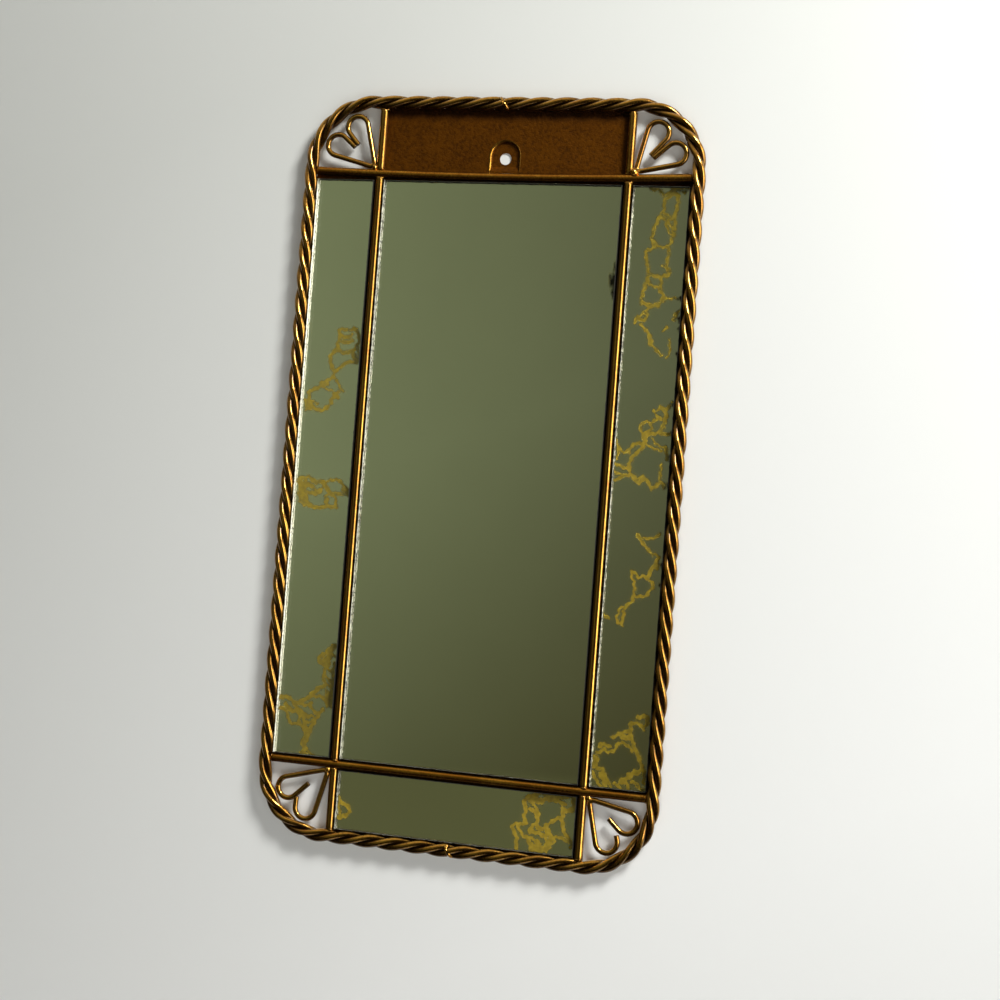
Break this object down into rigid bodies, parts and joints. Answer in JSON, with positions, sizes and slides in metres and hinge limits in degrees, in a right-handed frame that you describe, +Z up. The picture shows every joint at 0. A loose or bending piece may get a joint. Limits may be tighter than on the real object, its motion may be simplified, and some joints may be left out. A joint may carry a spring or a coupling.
{
  "type": "framed mirror",
  "caption": "Tall wall mirror: antiqued panes between welded round rods on a painted sheet, with a rim of three twisted wires, a wire heart in each open corner and a nail hole in a pressed arch.",
  "frame": {"origin": "middle of the nail hole, at the back of the pressed arch, which lies on the wall", "axes": "+Z up, +X to the right of someone facing the mirror, +Y into the wall; the mirror faces -Y"},
  "size_m": [0.3059, 0.0128, 0.5602],
  "materials": {
    "painted_sheet": "gold-bronze paint with a dark glaze, satin",
    "painted_wire": "gold-bronze paint with a dark glaze, satin",
    "painted_rim": "gold-bronze paint with a dark glaze, satin",
    "mirror_glass": "silvered glass, antiqued with ochre veins",
    "mastic": "matte"
  },
  "bodies": {
    "root": {"back_sheet": "painted_sheet", "upper_crossbar": "painted_wire", "lower_crossbar": "painted_wire", "left_upright": "painted_wire", "right_upright": "painted_wire", "upper_left_stub": "painted_wire", "upper_right_stub": "painted_wire", "lower_left_stub": "painted_wire", "lower_right_stub": "painted_wire", "upper_left_heart": "painted_wire", "upper_right_heart": "painted_wire", "lower_left_heart": "painted_wire", "lower_right_heart": "painted_wire", "left_rim_strand_a": "painted_rim", "left_rim_strand_b": "painted_rim", "left_rim_strand_c": "painted_rim", "right_rim_strand_a": "painted_rim", "right_rim_strand_b": "painted_rim", "right_rim_strand_c": "painted_rim", "centre_pane": "mirror_glass", "left_pane": "mirror_glass", "right_pane": "mirror_glass", "bottom_pane": "mirror_glass", "centre_mastic": "mastic", "left_mastic": "mastic", "right_mastic": "mastic", "bottom_mastic": "mastic"}
  },
  "joints": []
}
